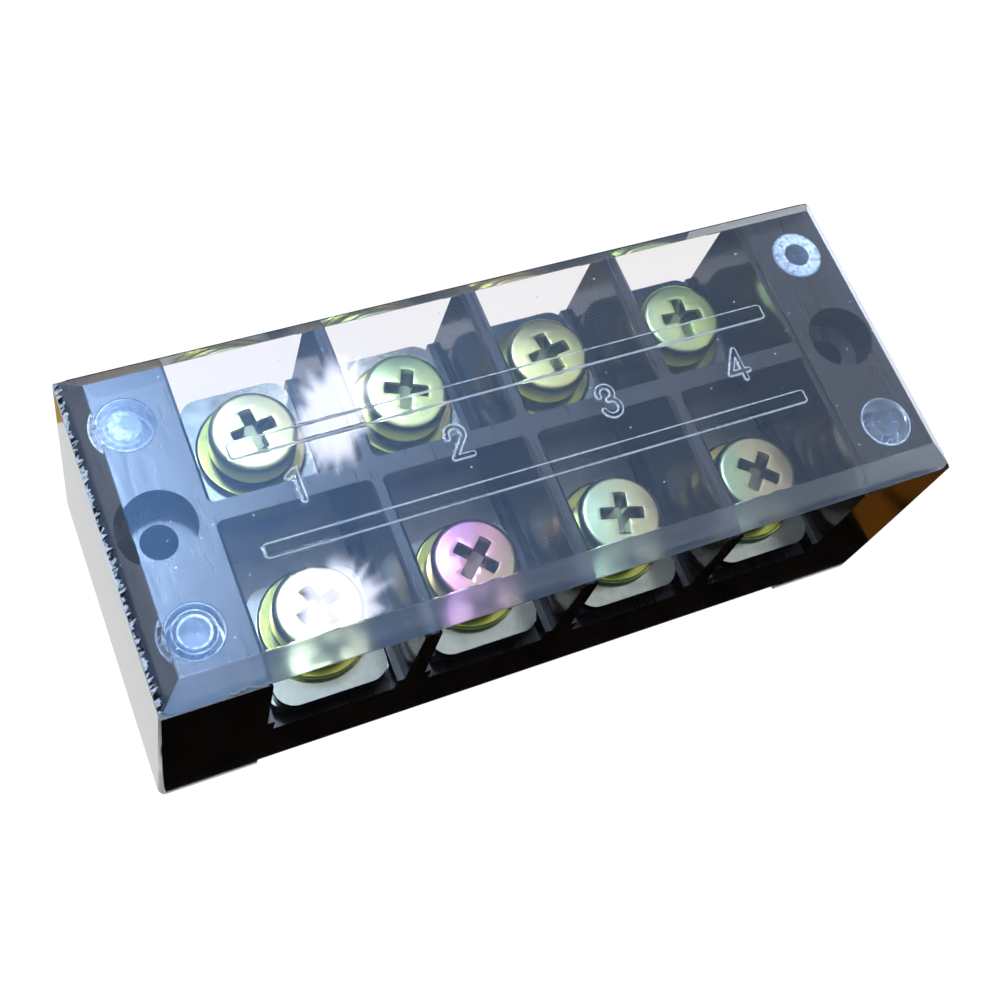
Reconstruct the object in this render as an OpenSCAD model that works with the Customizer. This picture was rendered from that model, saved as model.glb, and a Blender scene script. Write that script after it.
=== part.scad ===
// Barrier terminal strip: four poles in two rows under a clear snap-on cover.
// Origin: centre of the underside of the feet. X runs along the strip,
// -Y is the front row, +Z is up. All sizes are in millimetres.

/* [Moulded base] */
// Distance from one pole to the next
pitch = 21; // [20:0.5:26]
// Thickness of a barrier wall at its top
barrier_t = 2.2; // [1.8:0.1:3]
// Mould draft of each pocket wall, from its top to its ledge
draft = 0.3; // [0.1:0.05:0.5]
// Length of the solid block beyond the outer pockets
end_w = 13.3; // [12.5:0.1:18]
// Width of the base at its feet, front to rear
base_w = 44.8; // [44:0.2:54]
// Mould draft of the front and rear faces, from the feet to the top
face_draft = 0.45; // [0.2:0.05:0.6]
// Height of the end blocks
base_h = 34.3; // [33:0.1:42]
// How far the barrier tops lie under the end blocks
barrier_drop = 0.4; // [0.2:0.1:0.8]
// Thickness of the ridge between the two rows
ridge_t = 2.5; // [2:0.1:4]
// Radius of the upright corners
corner_r = 1; // [0.5:0.1:2]
// Radius where a pocket wall meets the ridge
pocket_r = 1; // [0.5:0.1:2]
// Chamfer along the top edges of the walls
edge_c = 0.5; // [0.2:0.05:0.7]
// Height of the ledges beside each conductor bar
ledge_z = 18.2; // [17.6:0.1:19.5]
// Width of each ledge beside the channel of a bar
ledge_w = 0.95; // [0.6:0.05:1.3]
// Height of the feet under the end blocks
foot_h = 1.8; // [1:0.1:3]
// Depth of the cored pockets under the strip
core_d = 3; // [1.5:0.1:3.6]
// Wall between two cored pockets
core_wall = 3.4; // [2.4:0.1:4.5]
// Radius in the corners of the cored pockets
core_r = 1.5; // [0.5:0.1:2.5]

/* [Mounting holes] */
// Distance from a mounting hole to the end face
hole_in = 6.6; // [6:0.1:7.5]
// Diameter of the through hole
hole_d = 4.6; // [4:0.1:5.5]
// Diameter of the counterbore
cbore_d = 9.2; // [8:0.1:10.5]
// Depth of the counterbore
cbore_h = 5; // [3:0.5:12]

/* [Clear cover] */
// Step from the top edge of the base to the cover, all round
cover_in = 0.1; // [0.05:0.05:0.4]
// Thickness of the cover
cover_t = 3.45; // [2.4:0.05:3.9]
// Width of the sloping border of the cover
bevel_w = 2.9; // [2:0.1:3.8]
// Height of the upright lip under the sloping border
lip_h = 0.3; // [0.2:0.1:0.8]
// Radius of the corners of the cover
cover_r = 1.6; // [0.8:0.1:3]
// Outer diameter of the tubular pegs
peg_d = 7.2; // [6:0.1:8]
// Bore of the tubular pegs
peg_bore = 4; // [3:0.1:4.6]
// Length of the pegs under the cover
peg_l = 7; // [5:0.5:10]
// Chamfer at the tip of each peg
peg_c = 0.5; // [0.2:0.1:0.8]
// Distance from the foot of the front or rear face to the pegs
peg_in = 8.8; // [7:0.1:10.4]
// Gap round a peg in its hole
peg_fit = 0.05; // [0.02:0.01:0.1]
// Room under the tip of a peg
peg_room = 1; // [0.5:0.1:2]

/* [Conductor bars] */
// Thickness of a bar
bar_t = 2.9; // [2.4:0.1:3.2]
// Room beside a bar in its channel
bar_side = 0.3; // [0.2:0.05:0.5]
// Distance from the end of a bar to the foot of the face
bar_in = 1.9; // [1:0.1:3]
// How far the top of a bar lies under the ledges
bar_drop = 0.1; // [0.05:0.05:0.4]
// Radius of the corners of a bar
bar_r = 1; // [0.5:0.1:2]

/* [Clamp plates and washers] */
// Width of a clamp plate
plate_w = 15; // [14:0.1:15.6]
// Length of a clamp plate, front to rear
plate_l = 15.6; // [14:0.1:17]
// Thickness of a clamp plate
plate_t = 1.9; // [1.5:0.1:2.4]
// Radius of the corners of a clamp plate
plate_r = 2.8; // [1.5:0.1:4]
// Distance from the tip of a clamp plate to the foot of the face
plate_in = 0.8; // [0.6:0.1:1.5]
// Outer diameter of the flat washer
washer_d = 14.4; // [13:0.1:15]
// Thickness of the flat washer
washer_t = 1.1; // [0.8:0.1:1.6]
// Rounding of the upper edge of the flat washer
washer_r = 0.4; // [0.1:0.05:0.6]
// Outer diameter of the spring washer
spring_d = 10.4; // [9.6:0.1:11.4]
// Thickness of the spring washer
spring_t = 1.4; // [1.2:0.1:2]
// Width of the split in the spring washer
spring_gap = 0.8; // [0.4:0.1:1.5]
// Angle of that split about the screw
spring_turn = 40; // [0:5:90]
// Gap round the screw in the plate and the washers
wash_fit = 0.35; // [0.3:0.05:0.6]

/* [Terminal screws] */
// Distance from the foot of the front or rear face to a row of screws
row_in = 9.9; // [9.4:0.1:10.4]
// Diameter of the shank
screw_d = 6; // [5:0.5:6]
// Length under the head
screw_l = 16; // [12:1:16]
// Diameter of the head
head_d = 11.4; // [10.4:0.1:12]
// Height of the head
head_h = 4; // [3.4:0.1:4.6]
// Radius of the shoulder of the head
head_r = 0.9; // [0.5:0.1:1.2]
// Rise of the domed top of the head above its shoulder
dome_h = 0.3; // [0.2:0.05:0.5]
// Length of the cross recess, tip to tip
cross_l = 6.2; // [5:0.1:7]
// Width of one slot of the cross recess
cross_w = 1.7; // [1.2:0.1:2]
// Depth of the cross recess
cross_d = 2.6; // [2:0.1:3]
// Angle of the side of the cross recess from upright
cross_a = 26; // [15:1:32]
// Chamfer at the tip of the shank
tip_c = 0.8; // [0.4:0.1:1.2]
// Gap round the shank in the tapped hole of a bar
thread_fit = 0.06; // [0.04:0.01:0.1]
// Gap round the shank and under its tip, in the base
tip_room = 0.6; // [0.4:0.1:1]

/* [Hidden] */
$fn = 64;
dome_fn = 900;
edge_fn = 24;
eps = 0.01;
poles = 4;
FRONT = -1;
REAR = 1;

base_l = poles * pitch - barrier_t + 2 * end_w;
top_w = base_w - 2 * face_draft;
cover_l = base_l - 2 * cover_in;
cover_w = top_w - 2 * cover_in;
wall_x = base_l / 2 - end_w;
barrier_z = base_h - barrier_drop;
ledge_t = barrier_t + 2 * draft;
channel_w = pitch - ledge_t - 2 * ledge_w;
bar_w = channel_w - 2 * bar_side;
bar_l = base_w - 2 * bar_in;
bar_top = ledge_z - bar_drop;
bar_z = bar_top - bar_t;
plate_y = base_w / 2 - plate_in - plate_l / 2;
plate_top = bar_top + plate_t;
washer_top = plate_top + washer_t;
head_z = washer_top + spring_t;
hole_x = base_l / 2 - hole_in;
peg_y = base_w / 2 - peg_in;
row_y = base_w / 2 - row_in;

// Rest angle of each cross recess, pole by pole
turn_front = [20, 43, -15, 48];
turn_rear = [8, 68, 8, -6];

// X of the middle of a pole, counted from 1
function pole_x(i) = (i - (poles + 1) / 2) * pitch;

// Rectangle with round corners, centred on the origin
module round_rect(l, w, r) {
  d = 2 * r;
  square([l - d, w], center = true);
  square([l, w - d], center = true);
  for (x = [-1, 1])
    for (y = [-1, 1])
      translate([x * (l / 2 - r), y * (w / 2 - r)])
        circle(r);
}

// Bar of a section drawn in X and Z, run along Y through the origin
module along_y(l) {
  rotate([90, 0, 0])
    translate([0, 0, -l / 2])
      linear_extrude(l)
        children();
}

// Bar of a section drawn in Y and Z, run along X through the origin
module along_x(l) {
  rotate([90, 0, 90])
    translate([0, 0, -l / 2])
      linear_extrude(l)
        children();
}

// Section of one pocket: drafted walls with a chamfer at the top
module pocket_section() {
  top = pitch - barrier_t;
  low = pitch - ledge_t;
  polygon([
    [-low / 2, ledge_z],
    [low / 2, ledge_z],
    [top / 2, barrier_z - edge_c],
    [top / 2 + edge_c, barrier_z],
    [top / 2 + edge_c, base_h + 1],
    [-top / 2 - edge_c, base_h + 1],
    [-top / 2 - edge_c, barrier_z],
    [-top / 2, barrier_z - edge_c]
  ]);
}

// Plan of one pocket: open at the face of the base, round at the ridge
module pocket_plan(side) {
  wide = pitch - barrier_t + 2 * edge_c;
  deep = base_w / 2 - ridge_t / 2;
  past = 2 * pocket_r;
  translate([0, side * (ridge_t / 2 + (deep + past) / 2)])
    round_rect(wide, deep + past, pocket_r);
}

// One pocket, front or rear
module pocket(i, side) {
  translate([pole_x(i), 0, 0])
    intersection() {
      along_y(base_w + 4 * pocket_r)
        pocket_section();
      translate([0, 0, ledge_z - 1])
        linear_extrude(base_h)
          pocket_plan(side);
    }
}

// Slot that a conductor bar slides into, with bores for the screw tips
module bar_channel(i) {
  tip_z = head_z - screw_l - tip_room;
  translate([pole_x(i), 0, 0]) {
    translate([-channel_w / 2, -base_w / 2 - 1, bar_z])
      cube([channel_w, base_w / 2 - ridge_t / 2 + 1, ledge_z - bar_z + eps]);
    translate([-channel_w / 2, ridge_t / 2, bar_z])
      cube([channel_w, base_w / 2 - ridge_t / 2 + 1, ledge_z - bar_z + eps]);
    translate([-channel_w / 2, -ridge_t, bar_z])
      cube([channel_w, 2 * ridge_t, bar_t + bar_drop]);
    for (side = [FRONT, REAR])
      translate([0, side * row_y, tip_z])
        cylinder(d = screw_d + 2 * tip_room, h = bar_z - tip_z + eps);
  }
}

// Moulded block before its cavities are cut, with drafted long faces
module base_block() {
  intersection() {
    linear_extrude(base_h)
      round_rect(base_l, base_w, corner_r);
    along_x(base_l + 2)
      polygon([
        [-base_w / 2, 0],
        [base_w / 2, 0],
        [top_w / 2, base_h],
        [-top_w / 2, base_h]
      ]);
  }
}

// Shallow cored pockets under the poles
module under_cores() {
  l = pitch - core_wall;
  w = base_w / 2 - 1.5 * core_wall;
  for (i = [1 : poles])
    for (side = [FRONT, REAR])
      translate([pole_x(i), side * (w + core_wall) / 2, -eps])
        linear_extrude(foot_h + core_d)
          round_rect(l, w, core_r);
}

// Counterbored hole for a mounting screw
module mounting_hole() {
  translate([0, 0, -1])
    cylinder(d = hole_d, h = base_h + 2);
  translate([0, 0, base_h - cbore_h])
    cylinder(d = cbore_d, h = cbore_h + 1);
}

module base() {
  color("#1b1c20")
    difference() {
      base_block();
      translate([-wall_x, -base_w / 2 - 1, -1])
        cube([2 * wall_x, base_w + 2, foot_h + 1]);
      translate([-wall_x - edge_c, -base_w / 2 - 1, barrier_z])
        cube([2 * (wall_x + edge_c), base_w + 2, barrier_drop + 1]);
      for (i = [1 : poles]) {
        bar_channel(i);
        for (side = [FRONT, REAR])
          pocket(i, side);
      }
      under_cores();
      for (x = [-hole_x, hole_x]) {
        translate([x, 0, 0])
          mounting_hole();
        for (side = [FRONT, REAR])
          translate([x, side * peg_y, base_h - peg_l - peg_room])
            cylinder(d = peg_d + 2 * peg_fit, h = peg_l + peg_room + 1);
      }
    }
}

// Section of the cover across a length l: flat below, sloping border above
module cover_section(l) {
  polygon([
    [-l / 2, 0],
    [l / 2, 0],
    [l / 2, lip_h],
    [l / 2 - bevel_w, cover_t],
    [-l / 2 + bevel_w, cover_t],
    [-l / 2, lip_h]
  ]);
}

// Clear plate with a sloping border all round
module cover_plate() {
  intersection() {
    linear_extrude(cover_t)
      round_rect(cover_l, cover_w, cover_r);
    along_y(cover_w + 2)
      cover_section(cover_l);
    along_x(cover_l + 2)
      cover_section(cover_w);
  }
}

// Tubular peg that hangs from the cover
module cover_peg() {
  rotate_extrude()
    polygon([
      [peg_bore / 2, eps],
      [peg_d / 2, eps],
      [peg_d / 2, -peg_l + peg_c],
      [peg_d / 2 - peg_c, -peg_l],
      [peg_bore / 2, -peg_l]
    ]);
}

module cover() {
  color([0.72, 0.8, 0.92, 0.45])
    translate([0, 0, base_h]) {
      cover_plate();
      for (x = [-hole_x, hole_x])
        for (side = [FRONT, REAR])
          translate([x, side * peg_y, 0])
            cover_peg();
    }
}

module conductor_bar(i) {
  color("#c9ccd0")
    translate([pole_x(i), 0, bar_z])
      difference() {
        linear_extrude(bar_t)
          round_rect(bar_w, bar_l, bar_r);
        for (side = [FRONT, REAR])
          translate([0, side * row_y, -1])
            cylinder(d = screw_d + 2 * thread_fit, h = bar_t + 2);
      }
}

module clamp_plate(i, side) {
  color("#c4c9cf")
    translate([pole_x(i), 0, bar_top])
      difference() {
        translate([0, side * plate_y, 0])
          linear_extrude(plate_t)
            round_rect(plate_w, plate_l, plate_r);
        translate([0, side * row_y, -1])
          cylinder(d = screw_d + 2 * wash_fit, h = plate_t + 2);
      }
}

module flat_washer(i, side) {
  color("#d2c96f")
    translate([pole_x(i), side * row_y, plate_top])
      rotate_extrude() {
        bore = screw_d / 2 + wash_fit;
        translate([bore, 0])
          square([washer_d / 2 - washer_r - bore, washer_t]);
        translate([bore, 0])
          square([washer_d / 2 - bore, washer_t - washer_r]);
        translate([washer_d / 2 - washer_r, washer_t - washer_r])
          circle(washer_r, $fn = edge_fn);
      }
}

module spring_washer(i, side) {
  color("#a9a35c")
    translate([pole_x(i), side * row_y, washer_top])
      difference() {
        cylinder(d = spring_d, h = spring_t);
        translate([0, 0, -1])
          cylinder(d = screw_d + 2 * wash_fit, h = spring_t + 2);
        rotate([0, 0, spring_turn])
          translate([0, -spring_gap / 2, -1])
            cube([spring_d, spring_gap, spring_t + 2]);
      }
}

// Profile of the pan head: upright rim, round shoulder, shallow dome
module head_profile() {
  crown = head_d / 2 - head_r;
  shoulder = head_h - dome_h;
  dome_r = (crown * crown + dome_h * dome_h) / (2 * dome_h);
  square([head_d / 2, shoulder - head_r]);
  square([crown, shoulder]);
  translate([crown, shoulder - head_r])
    circle(head_r);
  intersection() {
    translate([0, head_h - dome_r])
      circle(dome_r, $fn = dome_fn);
    square([crown, head_h]);
  }
}

// Cross recess: two slots held inside a cone
module cross_recess() {
  reach = cross_l / 2;
  intersection() {
    translate([0, 0, -cross_d])
      linear_extrude(cross_d + 1)
        union() {
          square([cross_l + 2, cross_w], center = true);
          square([cross_w, cross_l + 2], center = true);
        }
    rotate_extrude()
      polygon([
        [0, 1],
        [reach, 1],
        [reach, 0],
        [reach - cross_d * tan(cross_a), -cross_d],
        [0, -cross_d]
      ]);
  }
}

module terminal_screw(i, side) {
  turn = side == FRONT ? turn_front[i - 1] : turn_rear[i - 1];
  color("#cfc768")
    translate([pole_x(i), side * row_y, head_z])
      rotate([0, 0, turn])
        difference() {
          union() {
            rotate_extrude()
              head_profile();
            rotate_extrude()
              polygon([
                [0, eps],
                [screw_d / 2, eps],
                [screw_d / 2, tip_c - screw_l],
                [screw_d / 2 - tip_c, -screw_l],
                [0, -screw_l]
              ]);
          }
          translate([0, 0, head_h])
            cross_recess();
        }
}

base();
cover();
conductor_bar(1);  // conductor_bar_1
conductor_bar(2);  // conductor_bar_2
conductor_bar(3);  // conductor_bar_3
conductor_bar(4);  // conductor_bar_4
clamp_plate(1, FRONT);  // clamp_plate_f1
clamp_plate(2, FRONT);  // clamp_plate_f2
clamp_plate(3, FRONT);  // clamp_plate_f3
clamp_plate(4, FRONT);  // clamp_plate_f4
clamp_plate(1, REAR);  // clamp_plate_r1
clamp_plate(2, REAR);  // clamp_plate_r2
clamp_plate(3, REAR);  // clamp_plate_r3
clamp_plate(4, REAR);  // clamp_plate_r4
flat_washer(1, FRONT);  // flat_washer_f1
flat_washer(2, FRONT);  // flat_washer_f2
flat_washer(3, FRONT);  // flat_washer_f3
flat_washer(4, FRONT);  // flat_washer_f4
flat_washer(1, REAR);  // flat_washer_r1
flat_washer(2, REAR);  // flat_washer_r2
flat_washer(3, REAR);  // flat_washer_r3
flat_washer(4, REAR);  // flat_washer_r4
spring_washer(1, FRONT);  // spring_washer_f1
spring_washer(2, FRONT);  // spring_washer_f2
spring_washer(3, FRONT);  // spring_washer_f3
spring_washer(4, FRONT);  // spring_washer_f4
spring_washer(1, REAR);  // spring_washer_r1
spring_washer(2, REAR);  // spring_washer_r2
spring_washer(3, REAR);  // spring_washer_r3
spring_washer(4, REAR);  // spring_washer_r4
terminal_screw(1, FRONT);  // terminal_screw_f1
terminal_screw(2, FRONT);  // terminal_screw_f2
terminal_screw(3, FRONT);  // terminal_screw_f3
terminal_screw(4, FRONT);  // terminal_screw_f4
terminal_screw(1, REAR);  // terminal_screw_r1
terminal_screw(2, REAR);  // terminal_screw_r2
terminal_screw(3, REAR);  // terminal_screw_r3
terminal_screw(4, REAR);  // terminal_screw_r4
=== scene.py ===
"""Looks of a four-pole barrier terminal strip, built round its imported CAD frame.

Units are metres in the CAD frame: X runs along the strip, -Y is the front row, +Z is up.
"""

import logging
import math
from dataclasses import dataclass
from enum import Enum

import bmesh
import bpy
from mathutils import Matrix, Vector, noise

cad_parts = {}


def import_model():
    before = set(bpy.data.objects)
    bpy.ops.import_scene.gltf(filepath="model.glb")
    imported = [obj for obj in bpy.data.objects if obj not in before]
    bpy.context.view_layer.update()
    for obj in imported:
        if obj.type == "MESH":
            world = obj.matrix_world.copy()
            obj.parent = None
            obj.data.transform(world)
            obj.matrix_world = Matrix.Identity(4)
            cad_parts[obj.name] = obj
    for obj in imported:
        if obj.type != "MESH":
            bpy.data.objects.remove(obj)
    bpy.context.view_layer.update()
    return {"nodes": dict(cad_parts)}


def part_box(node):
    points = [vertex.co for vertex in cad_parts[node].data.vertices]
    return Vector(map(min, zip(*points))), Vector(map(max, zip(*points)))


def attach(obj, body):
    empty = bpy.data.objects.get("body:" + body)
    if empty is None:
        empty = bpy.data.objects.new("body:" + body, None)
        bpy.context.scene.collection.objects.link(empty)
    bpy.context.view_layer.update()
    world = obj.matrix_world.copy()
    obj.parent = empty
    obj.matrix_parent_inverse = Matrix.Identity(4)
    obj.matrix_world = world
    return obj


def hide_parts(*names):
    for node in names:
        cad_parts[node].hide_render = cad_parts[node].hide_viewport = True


MM = 0.001
LOG = logging.getLogger("terminal_strip")
POLES = (1, 2, 3, 4)
Tree = bpy.types.NodeTree
Socket = bpy.types.NodeSocket
Mesh = bmesh.types.BMesh
Layer = bmesh.types.BMLayerItem


class Row(Enum):
    """The two rows of screws, by the letter in their nodes' names."""

    FRONT = "f"
    REAR = "r"


def linear(code: str) -> tuple[float, float, float, float]:
    """Turns an sRGB hex colour into linear RGBA.

    Args:
        code: A colour such as "#8090a0".

    Returns:
        Linear red, green, blue, and an alpha of 1.
    """
    parts = [int(code[i : i + 2], 16) / 255 for i in (1, 3, 5)]
    low = [c / 12.92 if c <= 0.04045 else ((c + 0.055) / 1.055) ** 2.4 for c in parts]
    return (*low, 1.0)


def add(tree: Tree, kind: str, inputs: dict | None = None, **settings: object) -> bpy.types.Node:
    """Adds a node with its settings and links.

    Args:
        tree: The tree that gets the node.
        kind: The node's type name, such as "ShaderNodeMath".
        inputs: A value, or a socket to link from, for each input by name or index.
        settings: Attributes set on the node before its inputs.

    Returns:
        The new node.
    """
    node = tree.nodes.new(kind)
    for name, value in settings.items():
        setattr(node, name, value)
    for key, value in (inputs or {}).items():
        if isinstance(value, Socket):
            tree.links.new(value, node.inputs[key])
        else:
            node.inputs[key].default_value = value
    return node


def per_mm(size: float) -> float:
    """Gives the texture scale whose features are size millimetres wide."""
    return 1 / (size * MM)


@dataclass(frozen=True)
class Finish:
    """A surface finish that becomes one material."""

    name: str

    def surface(self, tree: Tree) -> Socket:
        """Builds the shader and gives its output socket."""
        raise NotImplementedError

    def material(self) -> bpy.types.Material:
        """Makes the finish's material, or gives the one already made.

        Returns:
            The material, with its node tree built.
        """
        found = bpy.data.materials.get(self.name)
        if found is not None:
            return found
        made = bpy.data.materials.new(self.name)
        made.use_nodes = True
        tree = made.node_tree
        tree.nodes.clear()
        add(tree, "ShaderNodeOutputMaterial", {"Surface": self.surface(tree)})
        return made


@dataclass(frozen=True)
class Phenolic(Finish):
    """Black phenolic, compression moulded.

    It gives the eye deep, polished walls and level faces that are duller and streaked from handling.
    """

    colour: str = "#0b0a0b"
    warm: str = "#1b110b"
    gloss: float = 0.24
    worn: float = 0.4
    polish: float = 0.13
    ior: float = 1.62

    def surface(self, tree: Tree) -> Socket:
        """Builds the shader and gives its output socket."""
        coords = add(tree, "ShaderNodeTexCoord")
        place = coords.outputs["Object"]
        skin = add(tree, "ShaderNodeTexNoise", {"Vector": place, "Scale": per_mm(1.4), "Detail": 4.0})
        cloud = add(tree, "ShaderNodeTexNoise", {"Vector": place, "Scale": per_mm(9.0), "Detail": 3.0})
        grain = add(tree, "ShaderNodeTexNoise", {"Vector": place, "Scale": per_mm(0.25), "Detail": 2.0})
        body = add(
            tree,
            "ShaderNodeMix",
            {"Factor": cloud.outputs["Fac"], "A": linear(self.colour), "B": linear(self.warm)},
            data_type="RGBA",
        )
        # Handling dulls the level faces, in strokes across the strip. Walls keep the mould's polish.
        faces = add(tree, "ShaderNodeSeparateXYZ", {0: coords.outputs["Normal"]})
        flat = add(tree, "ShaderNodeMath", {0: faces.outputs["Z"]}, operation="ABSOLUTE")
        strokes = add(
            tree,
            "ShaderNodeMapping",
            {"Vector": place, "Scale": (per_mm(0.7), per_mm(12.0), per_mm(2.0))},
        )
        rubbed = add(tree, "ShaderNodeTexNoise", {"Vector": strokes.outputs[0], "Scale": 1.0, "Detail": 4.0})
        dulled = add(
            tree,
            "ShaderNodeMapRange",
            {
                "Value": rubbed.outputs["Fac"],
                "From Min": 0.3,
                "From Max": 0.7,
                "To Min": self.gloss,
                "To Max": self.worn,
            },
        )
        rough = add(
            tree,
            "ShaderNodeMix",
            {"Factor": flat.outputs[0], "A": self.polish, "B": dulled.outputs["Result"]},
            data_type="FLOAT",
        )
        bump = add(
            tree,
            "ShaderNodeBump",
            {"Strength": 0.12, "Distance": 0.2 * MM, "Height": skin.outputs["Fac"]},
        )
        fine = add(
            tree,
            "ShaderNodeBump",
            {
                "Strength": 0.08,
                "Distance": 0.04 * MM,
                "Height": grain.outputs["Fac"],
                "Normal": bump.outputs["Normal"],
            },
        )
        shader = add(
            tree,
            "ShaderNodeBsdfPrincipled",
            {
                "Base Color": body.outputs["Result"],
                "Roughness": rough.outputs["Result"],
                "IOR": self.ior,
                "Normal": fine.outputs["Normal"],
            },
        )
        return shader.outputs["BSDF"]


@dataclass(frozen=True)
class WornEdgeAndHighlight(Finish):
    """Black phenolic with its resin skin rubbed off a corner, and a painted highlight along it.

    It gives the eye a thin, broken pale line: partly filler that shows where the skin is worn, partly a
    painted highlight on the rounded edge.
    """

    colour: str = "#111214"
    # Pale bluish grey: worn filler, and partly a painted highlight.
    bare_and_highlight: str = "#8d97a3"

    def surface(self, tree: Tree) -> Socket:
        """Builds the shader and gives its output socket."""
        place = add(tree, "ShaderNodeTexCoord").outputs["Object"]
        patch = add(tree, "ShaderNodeTexNoise", {"Vector": place, "Scale": per_mm(1.6), "Detail": 4.0})
        share = add(
            tree,
            "ShaderNodeMapRange",
            {"Value": patch.outputs["Fac"], "From Min": 0.4, "From Max": 0.6},
        )
        # Pale patches on the edge rounding: partly worn filler, partly a painted highlight.
        mixed = add(
            tree,
            "ShaderNodeMix",
            {"Factor": share.outputs["Result"], "A": linear(self.colour), "B": linear(self.bare_and_highlight)},
            data_type="RGBA",
        )
        shader = add(
            tree,
            "ShaderNodeBsdfPrincipled",
            {"Base Color": mixed.outputs["Result"], "Roughness": 0.3, "IOR": 1.62},
        )
        return shader.outputs["BSDF"]


@dataclass(frozen=True)
class ClearPlastic(Finish):
    """Clear acrylic, injection moulded.

    It gives the eye sharp refraction under a thin haze of scratches, tinted blue as a painted sky reflection,
    and white marks, welds and chips.
    """

    tint: str = "#f4f7fc"
    frost: str = "#e9f1fb"
    # Blue of the scratch haze: a painted sky reflection.
    veil_sky_tint: str = "#7cc0ff"
    scuff: str = "#aebccd"
    # Near-black of the painted shade of the seat gap along the lip.
    painted_gap_shade: str = "#0d0b0a"
    ior: float = 1.49
    veil_share: float = 0.02
    veil_rough: float = 0.4
    scuff_share: float = 0.13
    clear_rough: float = 0.03
    rubbed_rough: float = 0.3

    def surface(self, tree: Tree) -> Socket:
        """Builds the shader and gives its output socket."""
        coords = add(tree, "ShaderNodeTexCoord")
        place = coords.outputs["Object"]
        frosted = add(
            tree,
            "ShaderNodeBsdfPrincipled",
            {"Base Color": linear(self.frost), "Roughness": 0.5, "IOR": self.ior},
        )
        # The scratch haze is real; its blue colour is a painted sky reflection.
        hazy = add(
            tree,
            "ShaderNodeBsdfAnisotropic",
            {"Color": linear(self.veil_sky_tint), "Roughness": self.veil_rough},
        )
        rubbed = add(tree, "ShaderNodeBsdfDiffuse", {"Color": linear(self.scuff)})
        # Rubbing along the strip dulls the sloping border, in front and at the back, in lines 0.3 mm apart.
        facing = add(tree, "ShaderNodeSeparateXYZ", {0: coords.outputs["Normal"]})
        slope = add(tree, "ShaderNodeMath", {0: facing.outputs["Y"]}, operation="ABSOLUTE")
        border = add(
            tree,
            "ShaderNodeMapRange",
            {"Value": slope.outputs[0], "From Min": 0.3, "From Max": 0.6, "To Max": self.scuff_share},
        )
        front = add(
            tree,
            "ShaderNodeMapRange",
            {
                "Value": facing.outputs["Y"],
                "From Min": -0.55,
                "From Max": -0.3,
                "To Min": self.rubbed_rough,
                "To Max": self.clear_rough,
            },
        )
        clear = add(
            tree,
            "ShaderNodeBsdfPrincipled",
            {
                "Base Color": linear(self.tint),
                "Roughness": front.outputs["Result"],
                "IOR": self.ior,
                "Transmission Weight": 1.0,
            },
        )
        lines = add(
            tree,
            "ShaderNodeMapping",
            {"Vector": place, "Scale": (per_mm(9.0), per_mm(0.3), per_mm(0.3))},
        )
        streak = add(tree, "ShaderNodeTexNoise", {"Vector": lines.outputs[0], "Scale": 1.0, "Detail": 3.0})
        uneven = add(
            tree,
            "ShaderNodeMapRange",
            {
                "Value": streak.outputs["Fac"],
                "From Min": 0.3,
                "From Max": 0.7,
                "To Min": 0.35,
                "To Max": 1.6,
            },
        )
        dull = add(
            tree,
            "ShaderNodeMath",
            {0: border.outputs[0], 1: uneven.outputs[0]},
            operation="MULTIPLY",
        )
        # White where moulded edges, welds and chips scatter the light, broken up at 0.6 mm.
        edge = add(tree, "ShaderNodeAttribute", attribute_name="frost")
        rough = add(tree, "ShaderNodeTexNoise", {"Vector": place, "Scale": per_mm(0.6), "Detail": 4.0})
        broken = add(
            tree,
            "ShaderNodeMapRange",
            {
                "Value": rough.outputs["Fac"],
                "From Min": 0.35,
                "From Max": 0.6,
                "To Min": 0.45,
                "To Max": 1.1,
            },
        )
        whiter = add(
            tree,
            "ShaderNodeMath",
            {0: edge.outputs["Fac"], 1: broken.outputs[0]},
            operation="MULTIPLY",
        )
        specks = add(tree, "ShaderNodeTexVoronoi", {"Vector": place, "Scale": per_mm(3.4)})
        dust = add(
            tree,
            "ShaderNodeMapRange",
            {
                "Value": specks.outputs["Distance"],
                "From Min": 0.025,
                "From Max": 0.045,
                "To Min": 0.7,
                "To Max": 0.0,
            },
        )
        white = add(
            tree,
            "ShaderNodeMath",
            {0: whiter.outputs[0], 1: dust.outputs["Result"]},
            operation="MAXIMUM",
        )
        veiled = add(
            tree,
            "ShaderNodeMixShader",
            {0: self.veil_share, 1: clear.outputs[0], 2: hazy.outputs[0]},
        )
        dulled = add(
            tree,
            "ShaderNodeMixShader",
            {0: dull.outputs[0], 1: veiled.outputs[0], 2: rubbed.outputs[0]},
        )
        marked = add(
            tree,
            "ShaderNodeMixShader",
            {0: white.outputs[0], 1: dulled.outputs[0], 2: frosted.outputs[0]},
        )
        # Near-black where the seat gap's shade is painted on the lip.
        gap_shade_mask = add(tree, "ShaderNodeAttribute", attribute_name="gap_shade")
        painted_gap_shade = add(tree, "ShaderNodeBsdfDiffuse", {"Color": linear(self.painted_gap_shade)})
        gap_shaded = add(
            tree,
            "ShaderNodeMixShader",
            {0: gap_shade_mask.outputs["Fac"], 1: marked.outputs[0], 2: painted_gap_shade.outputs[0]},
        )
        path = add(tree, "ShaderNodeLightPath")
        through = add(tree, "ShaderNodeBsdfTransparent", {"Color": linear(self.tint)})
        lamps = add(
            tree,
            "ShaderNodeMixShader",
            {0: path.outputs["Is Shadow Ray"], 1: gap_shaded.outputs[0], 2: through.outputs[0]},
        )
        return lamps.outputs[0]


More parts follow.
